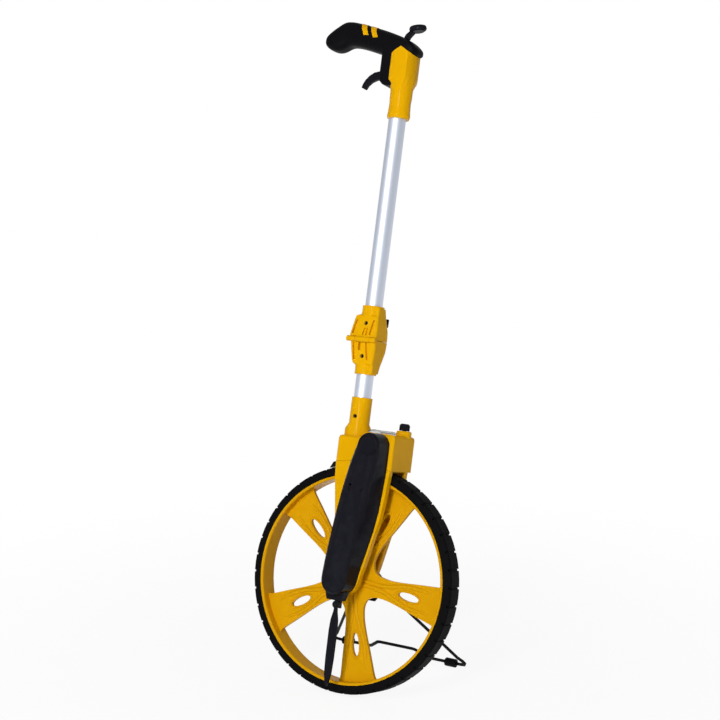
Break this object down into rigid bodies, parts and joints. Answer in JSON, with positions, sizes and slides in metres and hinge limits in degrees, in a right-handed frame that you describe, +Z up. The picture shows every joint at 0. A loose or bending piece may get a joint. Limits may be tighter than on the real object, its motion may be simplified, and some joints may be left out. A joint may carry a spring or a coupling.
{
  "type": "measuring wheel",
  "caption": "Walking distance-measuring wheel: spoked rubber-tyred wheel, belt-driven counter, folding tube, pistol grip and wire stand.",
  "frame": {"origin": "centre of the bounding box on the floor that the tyre and the stand feet rest on", "axes": "+Z up, +X the walking direction, +Y the side that the wheel leans to on its stand; the axle lies in the YZ plane"},
  "size_m": [0.3184, 0.291, 0.9347],
  "materials": {
    "yellow_plastic": "gloss",
    "black_plastic": "fine grain",
    "black_rubber": "matte",
    "tyre_rubber": "matte",
    "white_plastic": "satin",
    "clear_plastic": "clear",
    "tube_aluminium": "satin anodised",
    "black_steel": "powder coated",
    "zinc_steel": "zinc plated",
    "bronze": "sintered"
  },
  "bodies": {
    "frame": {"bush_near": "bronze", "bush_far": "bronze", "fork_leg_near": "yellow_plastic", "fork_leg_far": "yellow_plastic", "counter_housing": "yellow_plastic", "socket_screw": "black_steel", "counter_frame": "tube_aluminium", "carry_pinions": "white_plastic", "counter_window": "clear_plastic", "belt": "black_rubber", "belt_case_base": "black_plastic", "belt_case_cover": "black_plastic", "case_cap": "black_plastic", "case_screw_1": "black_steel", "case_screw_2": "black_steel", "pointer_bracket": "black_plastic", "pointer_pin": "black_steel", "brake_pin": "zinc_steel", "lower_tube": "tube_aluminium", "hinge_lower": "yellow_plastic", "hinge_pin": "zinc_steel", "hinge_screw_lower": "black_steel", "stand_bracket": "black_plastic", "stand_screw_1": "zinc_steel", "stand_screw_2": "zinc_steel"},
    "wheel": {"tyre": "tyre_rubber", "wheel": "yellow_plastic", "axle": "zinc_steel", "axle_nut": "zinc_steel", "drive_pulley": "black_plastic"},
    "counter_drive": {"counter_shaft": "zinc_steel", "counter_pulley": "black_plastic", "number_wheel_1": "black_plastic"},
    "number_wheel_2": {"number_wheel_2": "white_plastic"},
    "number_wheel_3": {"number_wheel_3": "white_plastic"},
    "number_wheel_4": {"number_wheel_4": "white_plastic"},
    "number_wheel_5": {"number_wheel_5": "white_plastic"},
    "reset_knob": {"reset_knob": "black_plastic"},
    "pointer": {"pointer": "black_plastic"},
    "brake_arm": {"brake_arm": "black_plastic"},
    "stand": {"stand_wire": "black_steel", "stand_foot_left": "black_rubber", "stand_foot_right": "black_rubber"},
    "upper": {"upper_tube": "tube_aluminium", "hinge_upper": "yellow_plastic", "hinge_screw_upper": "black_steel", "latch_pin": "zinc_steel", "handle_near": "yellow_plastic", "handle_far": "yellow_plastic", "grip_near": "black_plastic", "grip_far": "black_plastic", "grip_stripe_1": "yellow_plastic", "grip_stripe_2": "yellow_plastic", "handle_screw_1": "zinc_steel", "handle_screw_2": "zinc_steel", "trigger_pin": "zinc_steel", "thumb_lever_pin": "zinc_steel"},
    "latch": {"latch_lever": "black_plastic"},
    "trigger": {"trigger": "black_plastic"},
    "thumb_lever": {"thumb_lever": "black_plastic"}
  },
  "joints": [
    {"name": "wheel_spin", "type": "hinge", "parent": "frame", "child": "wheel", "pos_m": [0, -0.06465, 0.15714], "axis": [0, 0.969, -0.247], "continuous": true},
    {"name": "counter_spin", "type": "hinge", "parent": "frame", "child": "counter_drive", "pos_m": [0.0285, -0.01748, 0.34222], "axis": [0, 0.969, -0.247], "continuous": true},
    {"name": "number_wheel_2_spin", "type": "hinge", "parent": "frame", "child": "number_wheel_2", "pos_m": [0.0285, -0.02523, 0.3442], "axis": [0, 0.969, -0.247], "continuous": true},
    {"name": "number_wheel_3_spin", "type": "hinge", "parent": "frame", "child": "number_wheel_3", "pos_m": [0.0285, -0.01748, 0.34222], "axis": [0, 0.969, -0.247], "continuous": true},
    {"name": "number_wheel_4_spin", "type": "hinge", "parent": "frame", "child": "number_wheel_4", "pos_m": [0.0285, -0.00972, 0.34024], "axis": [0, 0.969, -0.247], "continuous": true},
    {"name": "number_wheel_5_spin", "type": "hinge", "parent": "frame", "child": "number_wheel_5", "pos_m": [0.0285, -0.00197, 0.33827], "axis": [0, 0.969, -0.247], "continuous": true},
    {"name": "reset_turn", "type": "hinge", "parent": "frame", "child": "reset_knob", "pos_m": [0.04, 0.00955, 0.36526], "axis": [0, 0.247, 0.969], "range_deg": [0, 360]},
    {"name": "pointer_swing", "type": "hinge", "parent": "frame", "child": "pointer", "pos_m": [0.0025, -0.11605, 0.13567], "axis": [0, 0.969, -0.247], "range_deg": [-45, 45]},
    {"name": "brake_press", "type": "hinge", "parent": "frame", "child": "brake_arm", "pos_m": [-0.022, -0.02234, 0.32313], "axis": [0, -0.969, 0.247], "range_deg": [0, 2.8]},
    {"name": "stand_fold", "type": "hinge", "parent": "frame", "child": "stand", "pos_m": [0, -0.02831, 0.14994], "axis": [1, 0, 0], "range_deg": [0, 128]},
    {"name": "handle_fold", "type": "hinge", "parent": "frame", "child": "upper", "pos_m": [-0.0228, -0.0008, 0.48864], "axis": [1, 0, 0], "range_deg": [0, 170]},
    {"name": "latch_press", "type": "hinge", "parent": "upper", "child": "latch", "pos_m": [-0.0228, 0.03793, 0.49321], "axis": [1, 0, 0], "range_deg": [0, 12], "stiffness_Nm_per_rad": 0.1, "springref_deg": -17.19},
    {"name": "trigger_pull", "type": "hinge", "parent": "upper", "child": "trigger", "pos_m": [-0.0478, 0.11356, 0.85628], "axis": [0, 0.969, -0.247], "range_deg": [0, 18], "stiffness_Nm_per_rad": 0.3, "springref_deg": -17.19},
    {"name": "thumb_press", "type": "hinge", "parent": "upper", "child": "thumb_lever", "pos_m": [-0.0268, 0.12529, 0.90231], "axis": [0, 0.969, -0.247], "range_deg": [0, 20], "stiffness_Nm_per_rad": 0.2, "springref_deg": -17.19}
  ],
  "couplings": [
    {"joint": "counter_spin", "follows": "wheel_spin", "ratio": 1},
    {"joint": "number_wheel_2_spin", "follows": "wheel_spin", "ratio": 0.1},
    {"joint": "number_wheel_3_spin", "follows": "wheel_spin", "ratio": 0.01},
    {"joint": "number_wheel_4_spin", "follows": "wheel_spin", "ratio": 0.001},
    {"joint": "number_wheel_5_spin", "follows": "wheel_spin", "ratio": 0.0001},
    {"joint": "brake_press", "follows": "trigger_pull", "ratio": 0.155}
  ]
}
